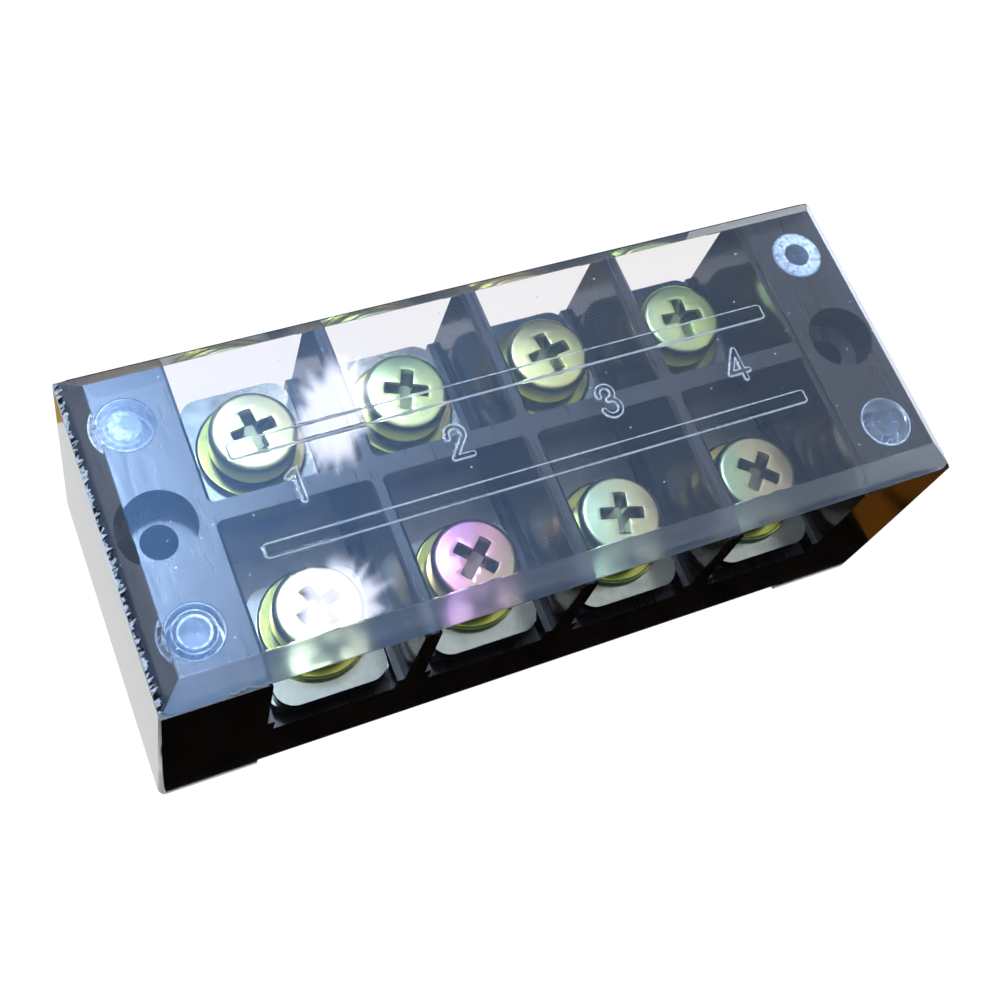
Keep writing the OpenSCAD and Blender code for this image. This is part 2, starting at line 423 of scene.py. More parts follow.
@dataclass(frozen=True)
class Passivated(Finish):
    """Yellow chromate over zinc on steel.

    It gives the eye satin metal whose thin film turns from green through yellow to pink.
    """

    centre: tuple[float, float, float] = (0.0, 0.0, 0.0)
    near: str = "#cfd58e"
    far: str = "#c9c07a"
    blush: str = "#cf9aa0"
    roughness: float = 0.3
    turn: float = 0.0
    reach: float = 5.7
    recess_r: float = 3.3
    recess_d: float = 0.4
    # Grey of the hollow, also standing in for its painted shade.
    recess_grey_and_shade: str = "#4b4a3e"

    def surface(self, tree: Tree) -> Socket:
        """Builds the shader and gives its output socket."""
        place = add(tree, "ShaderNodeTexCoord").outputs["Object"]
        local = add(
            tree,
            "ShaderNodeVectorMath",
            {0: place, 1: self.centre},
            operation="SUBTRACT",
        ).outputs[0]
        turned = add(
            tree,
            "ShaderNodeMapping",
            {"Vector": local, "Rotation": (0, 0, -self.turn), "Scale": [per_mm(self.reach)] * 3},
        )
        warp = add(tree, "ShaderNodeTexNoise", {"Vector": place, "Scale": per_mm(3.5), "Detail": 3.0})
        across = add(tree, "ShaderNodeSeparateXYZ", {0: turned.outputs["Vector"]})
        shift = add(
            tree,
            "ShaderNodeMath",
            {0: warp.outputs["Fac"], 1: 0.8, 2: across.outputs["X"]},
            operation="MULTIPLY_ADD",
        )
        share = add(
            tree,
            "ShaderNodeMapRange",
            {"Value": shift.outputs[0], "From Min": -0.4, "From Max": 1.1},
        )
        film = add(tree, "ShaderNodeValToRGB", {"Fac": share.outputs["Result"]})
        ramp = film.color_ramp
        ramp.elements[0].color = linear(self.near)
        ramp.elements[1].color = linear(self.blush)
        ramp.elements.new(0.55).color = linear(self.far)
        # The punch leaves the hollow dull and grey, and dirt sits in it; it is also darkened as painted
        # shade, more so the deeper it sinks.
        level = add(tree, "ShaderNodeVectorMath", {0: local, 1: (1.0, 1.0, 0.0)}, operation="MULTIPLY")
        away = add(tree, "ShaderNodeVectorMath", {0: level.outputs[0]}, operation="LENGTH")
        near_axis = add(
            tree, "ShaderNodeMath", {0: away.outputs["Value"], 1: self.recess_r * MM}, operation="LESS_THAN"
        )
        drop = add(tree, "ShaderNodeSeparateXYZ", {0: local})
        depth_dirt_and_shade = add(
            tree,
            "ShaderNodeMapRange",
            {
                "Value": drop.outputs["Z"],
                "From Min": -(self.recess_d + 0.5) * MM,
                "From Max": -self.recess_d * MM,
                "To Min": 0.75,
                "To Max": 0.0,
            },
        )
        inside = add(
            tree,
            "ShaderNodeMath",
            {0: near_axis.outputs[0], 1: depth_dirt_and_shade.outputs[0]},
            operation="MULTIPLY",
        )
        colour = add(
            tree,
            "ShaderNodeMix",
            {"Factor": inside.outputs[0], "A": film.outputs["Color"], "B": linear(self.recess_grey_and_shade)},
            data_type="RGBA",
        )
        grain = add(tree, "ShaderNodeTexNoise", {"Vector": place, "Scale": per_mm(0.35), "Detail": 3.0})
        rough = add(
            tree,
            "ShaderNodeMapRange",
            {"Value": grain.outputs["Fac"], "To Min": self.roughness - 0.08, "To Max": self.roughness + 0.1},
        )
        bump = add(
            tree,
            "ShaderNodeBump",
            {"Strength": 0.15, "Distance": 0.04 * MM, "Height": grain.outputs["Fac"]},
        )
        shader = add(
            tree,
            "ShaderNodeBsdfPrincipled",
            {
                "Base Color": colour.outputs["Result"],
                "Metallic": 1.0,
                "Roughness": rough.outputs["Result"],
                "Normal": bump.outputs["Normal"],
            },
        )
        return shader.outputs["BSDF"]


@dataclass(frozen=True)
class BrightPlate(Finish):
    """Zinc or nickel plated metal, sheared and tumbled.

    It gives the eye a pale silver with a faint cloud in its gloss.
    """

    colour: str = "#bcbfb4"
    cloud: str = "#868c86"
    roughness: float = 0.17

    def surface(self, tree: Tree) -> Socket:
        """Builds the shader and gives its output socket."""
        place = add(tree, "ShaderNodeTexCoord").outputs["Object"]
        cloud = add(tree, "ShaderNodeTexNoise", {"Vector": place, "Scale": per_mm(2.5), "Detail": 5.0})
        grain = add(tree, "ShaderNodeTexNoise", {"Vector": place, "Scale": per_mm(0.3), "Detail": 2.0})
        body = add(
            tree,
            "ShaderNodeMix",
            {"Factor": cloud.outputs["Fac"], "A": linear(self.colour), "B": linear(self.cloud)},
            data_type="RGBA",
        )
        rough = add(
            tree,
            "ShaderNodeMapRange",
            {"Value": cloud.outputs["Fac"], "To Min": self.roughness - 0.06, "To Max": self.roughness + 0.1},
        )
        bump = add(
            tree,
            "ShaderNodeBump",
            {"Strength": 0.15, "Distance": 0.05 * MM, "Height": grain.outputs["Fac"]},
        )
        shader = add(
            tree,
            "ShaderNodeBsdfPrincipled",
            {
                "Base Color": body.outputs["Result"],
                "Metallic": 1.0,
                "Roughness": rough.outputs["Result"],
                "Normal": bump.outputs["Normal"],
            },
        )
        return shader.outputs["BSDF"]


def dress(node: bpy.types.Object, finish: Finish) -> None:
    """Gives a CAD node's object one finish.

    Args:
        node: The CAD node's object.
        finish: The finish that its slots get.
    """
    if not node.material_slots:
        node.data.materials.append(None)
    for slot in node.material_slots:
        slot.link = "OBJECT"
        slot.material = finish.material()


def ease_edges(
    node: bpy.types.Object,
    width: float,
    finish: Finish | None = None,
    segments: int = 2,
) -> None:
    """Rounds a CAD node's sharp edges a little with modifiers, its mesh left as it is.

    Args:
        node: The CAD node's object.
        width: Width of the rounding, in metres.
        finish: A finish of its own for the rounding, if it has one.
        segments: Faces across each rounding.
    """
    weld = node.modifiers.new("weld", "WELD")
    weld.merge_threshold = 1e-6
    bevel = node.modifiers.new("edge", "BEVEL")
    bevel.width = width
    bevel.segments = segments
    bevel.limit_method = "ANGLE"
    bevel.angle_limit = math.radians(35)
    bevel.miter_outer = "MITER_ARC"
    if finish is not None:
        node.data.materials.append(finish.material())
        bevel.material = len(node.data.materials) - 1


@dataclass
class Stroke:
    """One stroke of a moulded mark: a chain of points in millimetres."""

    points: list[tuple[float, float]]

    def distance(self, x: float, y: float) -> float:
        """Gives how far a point lies from the stroke's centre line, in millimetres."""
        best = 1e9
        for (ax, ay), (bx, by) in zip(self.points, self.points[1:]):
            dx, dy = bx - ax, by - ay
            length = dx * dx + dy * dy
            along = 0.0 if length == 0 else max(0.0, min(1.0, ((x - ax) * dx + (y - ay) * dy) / length))
            best = min(best, math.hypot(x - ax - along * dx, y - ay - along * dy))
        return best


def arc(
    cx: float,
    cy: float,
    r: float,
    start: float,
    end: float,
    steps: int = 10,
) -> list[tuple[float, float]]:
    """Gives points along an arc.

    Args:
        cx: X of the centre.
        cy: Y of the centre.
        r: Radius.
        start: First angle, in degrees.
        end: Last angle, in degrees.
        steps: Number of chords.

    Returns:
        The points, both ends included.
    """
    angles = [math.radians(start + (end - start) * i / steps) for i in range(steps + 1)]
    return [(cx + r * math.cos(a), cy + r * math.sin(a)) for a in angles]


@dataclass
class MouldedMark:
    """A raised mark on the cover: strokes of one width, with sloping sides."""

    strokes: list[Stroke]
    x: float
    y: float
    half_w: float
    half_l: float
    half: float

    def level(self, x: float, y: float) -> float:
        """Gives the distance inside the mark's outline, in millimetres; below 0 is outside."""
        if abs(x - self.x) > self.half_l + 1 or abs(y - self.y) > self.half_w + 1:
            return -1.0
        return self.half - min(s.distance(x - self.x, y - self.y) for s in self.strokes)


@dataclass(frozen=True)
class PegMark:
    """How the joint of one peg looks from above.

    The white shares are those of the rim, of the ring between rim and bore, of the bore's edge and of the
    middle. The last two say which side is brighter, in degrees, and by how much.
    """

    side_x: int
    side_y: int
    rim: float
    ring: float
    bore: float
    middle: float
    turn: float
    uneven: float

    def white(self, share: float, angle: float) -> float:
        """Gives how white a place is, from its share and its direction from the axis in degrees."""
        return share * (1.0 - self.uneven * (0.5 - 0.5 * math.cos(math.radians(angle - self.turn))))


@dataclass
class CoverSizes:
    """Sizes of the clear cover, in millimetres."""

    thick: float = 3.45
    bevel_w: float = 2.9
    lip_h: float = 0.3
    corner_r: float = 1.6
    peg_r: float = 3.6
    bore_r: float = 2.0
    peg_l: float = 7.0
    peg_c: float = 0.5
    peg_x: float = 47.6
    peg_y: float = 13.6
    seat_gap: float = 0.05
    edge_r: float = 0.12
    mark_h: float = 0.22
    mark_side: float = 0.18
    grid_in: float = 1.2
    fine: float = 0.11
    coarse: float = 4.0
    chip_low: float = -46.8
    chip_high: float = -41.0
    chip_d: float = 0.55
    chip_lift: float = 0.015
    flash_w: float = 0.5
    flash_jag: float = 0.7
    flash_least: float = 0.15
    flash_lift: float = 0.02
    # Widths on the right and at the back, and lift, of the strips of painted gap shade along the lip.
    gap_shade_right: float = 0.07
    gap_shade_rear: float = 0.3
    gap_shade_lift: float = 0.015


class ClearCover:
    """The clear cover with its pegs, position numbers and two long ovals."""

    PEGS = (
        PegMark(-1, 1, 0.9, 0.3, 0.7, 0.72, 190.0, 0.75),
        PegMark(-1, -1, 0.5, 0.0, 1.0, 0.1, 20.0, 0.4),
        PegMark(1, 1, 0.5, 0.72, 1.0, 0.0, 20.0, 0.35),
        PegMark(1, -1, 0.75, 0.06, 0.12, 0.05, 270.0, 0.6),
    )

    def __init__(self, sizes: CoverSizes) -> None:
        """Measures the CAD cover and lays out the marks."""
        self.sizes = sizes
        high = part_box("cover")[1]
        self.half_l = high.x / MM
        self.half_w = high.y / MM
        self.top = high.z / MM
        self.seat = self.top - sizes.thick
        self.marks = self._marks()

    @staticmethod
    def _marks() -> list[MouldedMark]:
        """Lays out the four numbers and the two ovals."""
        one = [Stroke([(-0.75, 1.35), (0.2, 2.0), (0.2, -1.95)])]
        two = [Stroke(arc(0.0, 1.0, 1.1, 195, -25) + [(-1.1, -2.05), (1.3, -2.05)])]
        three = [
            Stroke(arc(-0.05, 1.1, 1.0, 195, -60) + [(0.05, 0.12)]),
            Stroke([(0.05, 0.12)] + arc(0.1, -0.98, 1.15, 80, -170, 14)),
        ]
        four = [Stroke([(1.35, -1.05), (-1.35, -1.05), (0.55, 2.15), (0.55, -2.15)])]
        spots = ((-31.08, -0.7), (-10.45, -0.72), (10.5, -0.86), (29.64, -0.8))
        digits = zip((one, two, three, four), spots)
        marks = [MouldedMark(strokes, x, y, 3.2, 2.4, 0.42) for strokes, (x, y) in digits]
        for y, half in ((5.75, 1.15), (-7.58, 1.0)):
            marks.append(MouldedMark([Stroke([(-36.9, 0.0), (36.2, 0.0)])], 0.0, y, half, 38.5, half))
        return marks

    def _lines(self, half: float, bands: list[tuple[float, float]]) -> list[float]:
        """Gives grid lines from -half to half, close together inside the bands.

        Args:
            half: Half the grid's length, in millimetres.
            bands: Stretches that need fine lines.

        Returns:
            The lines' places, in order.
        """
        s = self.sizes
        places = {round(-half, 4), round(half, 4)}
        for low, high in bands:
            count = max(1, math.ceil((high - low) / s.fine))
            places.update(round(low + (high - low) * i / count, 4) for i in range(count + 1))
        ordered = sorted(places)
        filled = [ordered[0]]
        for value in ordered[1:]:
            gap = value - filled[-1]
            steps = max(1, math.ceil(gap / s.coarse))
            start = filled[-1]
            filled.extend(start + gap * i / steps for i in range(1, steps + 1))
        return filled

    def _top_grid(self, bm: Mesh, frost: Layer) -> None:
        """Adds the flat top with its raised marks.

        Args:
            bm: The cover's mesh.
            frost: The vertex layer that says how white a place is.
        """
        s = self.sizes
        half_x = self.half_l - s.bevel_w - s.grid_in
        half_y = self.half_w - s.bevel_w - s.grid_in
        x_bands = [(m.x - 2.3, m.x + 2.3) for m in self.marks[:4]] + [(-38.4, -36.3), (35.5, 37.8)]
        y_bands = [(-3.7, 2.2)]
        for mark in self.marks[4:]:
            for side in (-1, 1):
                y_bands.append((mark.y + side * mark.half - 0.35, mark.y + side * mark.half + 0.35))
        xs = self._lines(half_x, x_bands)
        ys = self._lines(half_y, y_bands)
        rows = []
        for y in ys:
            row = []
            for x in xs:
                level = max(m.level(x, y) for m in self.marks)
                rise = max(0.0, min(1.0, level / s.mark_side))
                vert = bm.verts.new((x * MM, y * MM, (self.top + s.mark_h * rise) * MM))
                outside = abs(level - s.mark_side / 2) / (0.85 * s.mark_side)
                vert[frost] = min(1.0, 1.25 * max(0.0, 1 - outside))
                row.append(vert)
            rows.append(row)
        for low, high in zip(rows, rows[1:]):
            for a, b, c, d in zip(low, low[1:], high[1:], high):
                bm.faces.new((a, b, c, d)).smooth = True

    def _outline(self) -> list[tuple[float, float]]:
        """Gives the cover's plan, anticlockwise, in millimetres, with the chip in its front edge."""
        s = self.sizes
        points = []
        for sx, sy, start in ((1, 1, 0), (-1, 1, 90), (-1, -1, 180), (1, -1, 270)):
            cx, cy = sx * (self.half_l - s.corner_r), sy * (self.half_w - s.corner_r)
            points += arc(cx, cy, s.corner_r, start, start + 90, 8)
            if (sx, sy) == (-1, -1):
                steps = 14
                for i in range(steps + 1):
                    x = s.chip_low + (s.chip_high - s.chip_low) * i / steps
                    ragged = 0.45 + noise.noise(Vector((x * 1.7, 3.1, 0.4)))
                    bite = math.sin(math.pi * i / steps) ** 0.5 * ragged
                    points.append((x, -self.half_w + max(0.0, s.chip_d * bite)))
        return points

    def _rise(self, x: float, y: float) -> float:
        """Gives the height of the sloping border over the seat at a place on the plan, in millimetres."""
        s = self.sizes
        inside = min(self.half_l - abs(x), self.half_w - abs(y))
        return min(s.thick, s.lip_h + inside * (s.thick - s.lip_h) / s.bevel_w)

    def _body(self, bm: Mesh) -> None:
        """Adds the plate's sides, sloping border and underside.

        Args:
            bm: The cover's mesh.
        """
        s = self.sizes
        outline = self._outline()
        seat = self.seat + s.seat_gap
        bottom = [bm.verts.new((x * MM, y * MM, seat * MM)) for x, y in outline]
        upper = [bm.verts.new((x * MM, y * MM, (self.seat + self._rise(x, y)) * MM)) for x, y in outline]
        count = len(outline)
        for i in range(count):
            j = (i + 1) % count
            bm.faces.new((bottom[i], bottom[j], upper[j], upper[i]))
        inner_x, inner_y = self.half_l - s.bevel_w, self.half_w - s.bevel_w
        signs = ((1, 1), (-1, 1), (-1, -1), (1, -1))
        corners = [bm.verts.new((sx * inner_x * MM, sy * inner_y * MM, self.top * MM)) for sx, sy in signs]
        middles = []
        for sx, sy in signs:
            spot = (sx * (self.half_l - s.corner_r * 0.293), sy * (self.half_w - s.corner_r * 0.293))
            middles.append(min(range(count), key=lambda i: math.dist(outline[i], spot)))
        for k in range(4):
            end = middles[(k + 1) % 4]
            chain = [upper[middles[k]]]
            i = middles[k]
            while i != end:
                i = (i + 1) % count
                chain.append(upper[i])
            bm.faces.new(chain + [corners[(k + 1) % 4], corners[k]])
        grid_x, grid_y = inner_x - s.grid_in, inner_y - s.grid_in
        inset = [bm.verts.new((sx * grid_x * MM, sy * grid_y * MM, self.top * MM)) for sx, sy in signs]
        for k in range(4):
            j = (k + 1) % 4
            bm.faces.new((corners[k], corners[j], inset[j], inset[k]))
        bm.faces.new(list(reversed(bottom)))

    def _chip(self, bm: Mesh, frost: Layer) -> None:
        """Adds the whitish broken face of the chip, a hair in front of the clear body.

        Args:
            bm: The cover's mesh.
            frost: The vertex layer that says how white a place is.
        """
        s = self.sizes
        chain = [(x, y) for x, y in self._outline() if s.chip_low <= x <= s.chip_high and y < 0]
        rows = []
        for x, y in chain:
            low, high = self.seat + s.seat_gap, self.seat + self._rise(x, y)
            pair = [bm.verts.new((x * MM, (y - s.chip_lift) * MM, z * MM)) for z in (low, high)]
            for vert in pair:
                vert[frost] = 1.0
            rows.append(pair)
        for (a, b), (c, d) in zip(rows, rows[1:]):
            bm.faces.new((a, c, d, b))

    def _torn_lip(self, bm: Mesh, frost: Layer, gap_shade: Layer) -> None:
        """Adds the torn flash along the left edge on the thin lip, in scraps of uneven width: white flash
        between near-black painted shade of the seat gap.

        Args:
            bm: The cover's mesh.
            frost: The vertex layer that says how white a place is.
            gap_shade: The vertex layer that says where the seat gap's shade is painted near-black.
        """
        s = self.sizes
        steps = 260
        half = self.half_w - s.corner_r * 0.4
        rows = []
        for i in range(steps + 1):
            y = -half + 2 * half * i / steps
            jag = noise.noise(Vector((y * 1.9, 4.2, 0.7))) + 0.5 * noise.noise(Vector((y * 6.0, 1.3, 2.9)))
            width = max(s.flash_least, s.flash_w + s.flash_jag * jag)
            scrap = noise.noise(Vector((y * 2.6, 7.7, 5.1)))
            row = []
            for k, share in enumerate((0.0, 0.45, 0.75, 1.0)):
                x = -self.half_l + width * share
                z = self.seat + self._rise(x, y) + s.flash_lift
                vert = bm.verts.new(((x - s.flash_lift) * MM, y * MM, z * MM))
                white = scrap + 0.35 * noise.noise(Vector((y * 5.0, k * 3.1, 8.8))) > -0.12
                vert[frost] = 0.95 if white and k < 3 else 0.1
                # Where the flash is not white, the seat gap's shade is painted near-black.
                vert[gap_shade] = 0.0 if white and k < 3 else 0.9
                row.append(vert)
            rows.append(row)
        for low, high in zip(rows, rows[1:]):
            for a, b, c, d in zip(low, low[1:], high[1:], high):
                bm.faces.new((a, b, c, d))

    def _shaded_lip(self, bm: Mesh, gap_shade: Layer) -> None:
        """Adds near-black painted shade of the seat gap along the thin lip behind and on the right, as two
        narrow strips.

        Args:
            bm: The cover's mesh.
            gap_shade: The vertex layer that says where the seat gap's shade is painted near-black.
        """
        s = self.sizes
        reach_x, reach_y = self.half_l - s.corner_r, self.half_w - s.corner_r
        around = arc(reach_x, reach_y, s.corner_r, 0, 90, 8)
        chain = [(self.half_l, -reach_y)] + around + [(-reach_x, self.half_w)]
        rows = []
        for i, (x, y) in enumerate(chain):
            width = s.gap_shade_right + (s.gap_shade_rear - s.gap_shade_right) * max(0, min(1, (i - 1) / 8))
            inward = Vector((min(x, reach_x) - x, min(y, reach_y) - y, 0))
            inward = inward.normalized() if inward.length > 0.01 else Vector((0, -1, 0))
            row = []
            for share in (0.0, 1.0):
                px, py = x + inward.x * width * share, y + inward.y * width * share
                z = self.seat + self._rise(px, py) + s.gap_shade_lift
                vert = bm.verts.new((px * MM, py * MM, z * MM))
                vert[gap_shade] = 1.0
                row.append(vert)
            rows.append(row)
        for (a, b), (c, d) in zip(rows, rows[1:]):
            bm.faces.new((a, b, d, c))

    def _peg(self, bm: Mesh, frost: Layer, mark: PegMark) -> None:
        """Adds one tubular peg, closed at its root, with the joint to the plate as a whitish ring.

        Args:
            bm: The cover's mesh.
            frost: The vertex layer that says how white a place is.
            mark: Which peg it is, and how its joint looks.
        """
        s = self.sizes
        root, tip = self.seat + s.seat_gap - 0.02, self.seat - s.peg_l
        profile = [
            (0.0, root - 0.5, mark.middle),
            (s.bore_r - 0.25, root - 0.5, mark.middle),
            (s.bore_r, root - 0.3, mark.bore * 0.5),
            (s.bore_r, tip, 0.0),
            (s.peg_r - s.peg_c, tip, 0.0),
            (s.peg_r, tip + s.peg_c, 0.0),
            (s.peg_r, root - 0.1, 0.0),
            (s.peg_r - 0.08, root, mark.rim),
            (s.peg_r - 0.2, root, mark.rim * 0.7),
            (s.peg_r - 0.34, root, mark.ring),
            (s.peg_r - 0.85, root, mark.ring),
            (s.peg_r - 0.98, root, max(mark.ring, mark.bore * 0.8)),
            (s.peg_r - 1.1, root, mark.ring),
            (s.bore_r + 0.15, root, mark.ring),
            (s.bore_r, root, mark.bore),
            (s.bore_r - 0.18, root, mark.bore * 0.6),
            (s.bore_r - 0.32, root, mark.middle),
            (0.0, root, mark.middle),
        ]
        steps = 56
        rings = []
        for r, z, white in profile:
            spots = arc(0, 0, r, 0, 360, steps)[:-1] if r > 0 else [(0.0, 0.0)]
            ring = []
            for px, py in spots:
                place = (mark.side_x * s.peg_x + px, mark.side_y * s.peg_y + py)
                vert = bm.verts.new((place[0] * MM, place[1] * MM, z * MM))
                vert[frost] = mark.white(white, math.degrees(math.atan2(py, px)))
                ring.append(vert)
            rings.append(ring)
        for first, second in zip(rings, rings[1:]):
            for i in range(steps):
                j = (i + 1) % steps
                loop = [first[k % len(first)] for k in (i, j)] + [second[k % len(second)] for k in (j, i)]
                bm.faces.new(list(dict.fromkeys(loop))).smooth = True

    def build(self) -> bpy.types.Object:
        """Builds the cover's piece and dresses it.

        Returns:
            The piece, riding on the cover's body in place of the CAD cover.
        """
        body = bmesh.new()
        body.verts.layers.float.new("frost")
        self._body(body)
        bmesh.ops.recalc_face_normals(body, faces=body.faces)
        mesh = bpy.data.meshes.new("clear_cover_body")
        body.to_mesh(mesh)
        body.free()
        shaped = bpy.data.objects.new("clear_cover_body", mesh)
        bpy.context.scene.collection.objects.link(shaped)
        bevel = shaped.modifiers.new("edge", "BEVEL")
        bevel.width = self.sizes.edge_r * MM
        bevel.segments = 2
        bevel.limit_method = "ANGLE"
        bevel.angle_limit = math.radians(30)
        graph = bpy.context.evaluated_depsgraph_get()
        eased = bpy.data.meshes.new_from_object(shaped.evaluated_get(graph))
        bpy.data.objects.remove(shaped)
        whole = bmesh.new()
        whole.from_mesh(eased)
        # Layer for the seat gap's painted shade along the lip.
        gap_shade = whole.verts.layers.float.new("gap_shade")
        frost = whole.verts.layers.float["frost"]
        self._top_grid(whole, frost)
        self._chip(whole, frost)
        self._torn_lip(whole, frost, gap_shade)
        self._shaded_lip(whole, gap_shade)
        pegs = bmesh.new()
        whites = pegs.verts.layers.float.new("frost")
        for mark in self.PEGS:
            self._peg(pegs, whites, mark)
        bmesh.ops.recalc_face_normals(pegs, faces=pegs.faces)
        loose = bpy.data.meshes.new("pegs")
        pegs.to_mesh(loose)
        pegs.free()
        whole.from_mesh(loose)
        done = bpy.data.meshes.new("clear_cover")
        whole.to_mesh(done)
        whole.free()
        piece = bpy.data.objects.new("clear_cover", done)
        bpy.context.scene.collection.objects.link(piece)
        done.materials.append(ClearPlastic("clear_acrylic_moulded").material())
        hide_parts("cover")
        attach(piece, "cover")
        LOG.info("clear_cover: %d faces", len(done.polygons))
        return piece


class MouldedBase:
    """The moulded base and the conductor bars in it."""

    def dress(self, nodes: dict[str, bpy.types.Object]) -> None:
        """Gives the base and the bars their finishes.

        Args:
            nodes: The CAD nodes' objects by name.
        """
        dress(nodes["base"], Phenolic("black_phenolic_moulded"))
        # The base's edge roundings get a pale broken line: partly wear, partly a painted highlight.
        ease_edges(nodes["base"], 0.2 * MM, WornEdgeAndHighlight("black_phenolic_rubbed_edge_and_highlight"))
        for pole in POLES:
            bar = nodes[f"conductor_bar_{pole}"]
            dress(bar, BrightPlate("nickel_plated_bar", "#b4b2aa", "#8c8a84", 0.3))
            ease_edges(bar, 0.15 * MM)
        LOG.info("base and %d bars dressed", len(POLES))


@dataclass(frozen=True)
class FilmTint:
    """How the passivation of one screw looks."""

    near: str
    far: str
    blush: str
    turn: float
    roughness: float = 0.3


class TerminalStack:
    """Clamp plate, washers and screw of one terminal."""

    TINTS = {
        "f1": FilmTint("#e6e2a8", "#e0dba0", "#d8cf9a", 0.0),
        "f2": FilmTint("#b9ab84", "#d59a9c", "#c98fb4", 130.0),
        "f3": FilmTint("#d2c496", "#c3c79c", "#aebf9c", 170.0),
        "f4": FilmTint("#c2ad88", "#b5ab84", "#98a882", 170.0),
        "r1": FilmTint("#e2dfa4", "#d6d29a", "#c9b98a", 40.0, 0.42),
        "r2": FilmTint("#dbe3a0", "#cfd794", "#b9c58c", 60.0),
        "r3": FilmTint("#d8d692", "#cbcb8a", "#bcae80", 80.0),
        "r4": FilmTint("#cfe08e", "#c5cf8e", "#b2b98a", 200.0),
    }

    def __init__(self, row: Row, pole: int) -> None:
        """Names the terminal by its row and pole."""
        self.key = f"{row.value}{pole}"

    def dress(self, nodes: dict[str, bpy.types.Object]) -> None:
        """Gives the terminal's four pieces their finishes.

        Args:
            nodes: The CAD nodes' objects by name.
        """
        key = self.key
        screw = nodes[f"terminal_screw_{key}"]
        low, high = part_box(screw.name)
        centre = ((low.x + high.x) / 2, (low.y + high.y) / 2, high.z)
        tint = self.TINTS[key]
        film = Passivated(
            f"yellow_zinc_screw_{key}",
            centre,
            tint.near,
            tint.far,
            tint.blush,
            tint.roughness,
            math.radians(tint.turn),
        )
        dress(screw, film)
        ease_edges(screw, 0.08 * MM)
        # Both washers are darker olive than the head: partly their own passivation, partly painted shade
        # where they sit under it.
        washer = nodes[f"flat_washer_{key}"]
        dress(
            washer,
            Passivated(f"yellow_zinc_washer_shaded_{key}", centre, "#b9b85e", "#a9ab5c", "#a58a58", 0.2, 0.5, 7.2),
        )
        spring = nodes[f"spring_washer_{key}"]
        dress(
            spring,
            Passivated(f"yellow_zinc_spring_shaded_{key}", centre, "#8f9150", "#767c46", "#75623e", 0.24, 1.1, 5.2),
        )
        ease_edges(spring, 0.12 * MM)
        plate = nodes[f"clamp_plate_{key}"]
        dress(plate, BrightPlate("bright_zinc_plate"))
        # The plate's edge roundings are tinted bluish purple: a painted colour fringe along their highlights.
        ease_edges(plate, 0.4 * MM, BrightPlate("plate_edge_painted_colour_fringe", "#a9aedb", "#6f76b8", 0.2), 3)
        LOG.info("terminal %s: screw, two washers and clamp plate dressed", key)


@dataclass(frozen=True)
class PaleFloor(Finish):
    """Plain pale floor that keeps a soft shadow and looks white to the camera, to gloss and through glass."""

    colour: str = "#f2f2f0"
    seen: str = "#ffffff"
    through: str = "#fff6ec"
    shade: float = 0.06

    def surface(self, tree: Tree) -> Socket:
        """Builds the shader and gives its output socket."""
        path = add(tree, "ShaderNodeLightPath")
        lit = add(tree, "ShaderNodeBsdfDiffuse", {"Color": linear(self.colour)})
        cream = add(
            tree,
            "ShaderNodeMix",
            {
                "Factor": path.outputs["Is Transmission Ray"],
                "A": linear(self.seen),
                "B": linear(self.through),
            },
            data_type="RGBA",
        )
        glow = add(tree, "ShaderNodeEmission", {"Color": cream.outputs["Result"], "Strength": 1.06})
        paths = add(
            tree,
            "ShaderNodeMath",
            {0: path.outputs["Is Camera Ray"], 1: path.outputs["Is Glossy Ray"]},
            operation="MAXIMUM",
        )
        seen = add(
            tree,
            "ShaderNodeMath",
            {0: paths.outputs[0], 1: path.outputs["Is Transmission Ray"]},
            operation="MAXIMUM",
        )
        share = add(tree, "ShaderNodeMath", {0: seen.outputs[0], 1: 1 - self.shade}, operation="MULTIPLY")
        mixed = add(
            tree,
            "ShaderNodeMixShader",
            {0: share.outputs[0], 1: lit.outputs[0], 2: glow.outputs[0]},
        )
        return mixed.outputs[0]


@dataclass(frozen=True)
class GlossOnlyGlowSheet(Finish):
    """A sheet laid beside the object, out of the camera's sight, that glows with its own colour for gloss
    alone: a painted reflection, and where near-black, a painted shadow.
    """

    # Glowing colours, unlit: painted reflections, the near-black default a painted shadow.
    colour: str = "#0b0908"
    patch: str = "#000000"
    blotches: float = 6.0

    def surface(self, tree: Tree) -> Socket:
        """Builds the shader and gives its output socket."""
        place = add(tree, "ShaderNodeTexCoord").outputs["Object"]
        blotches = add(
            tree,
            "ShaderNodeTexNoise",
            {"Vector": place, "Scale": per_mm(self.blotches), "Detail": 1.0},
        )
        patch = add(
            tree,
            "ShaderNodeMapRange",
            {"Value": blotches.outputs["Fac"], "From Min": 0.45, "From Max": 0.68},
            interpolation_type="SMOOTHSTEP",
        )
        shade = add(
            tree,
            "ShaderNodeMix",
            {"Factor": patch.outputs["Result"], "A": linear(self.colour), "B": linear(self.patch)},
            data_type="RGBA",
        )
        return add(tree, "ShaderNodeEmission", {"Color": shade.outputs["Result"]}).outputs[0]


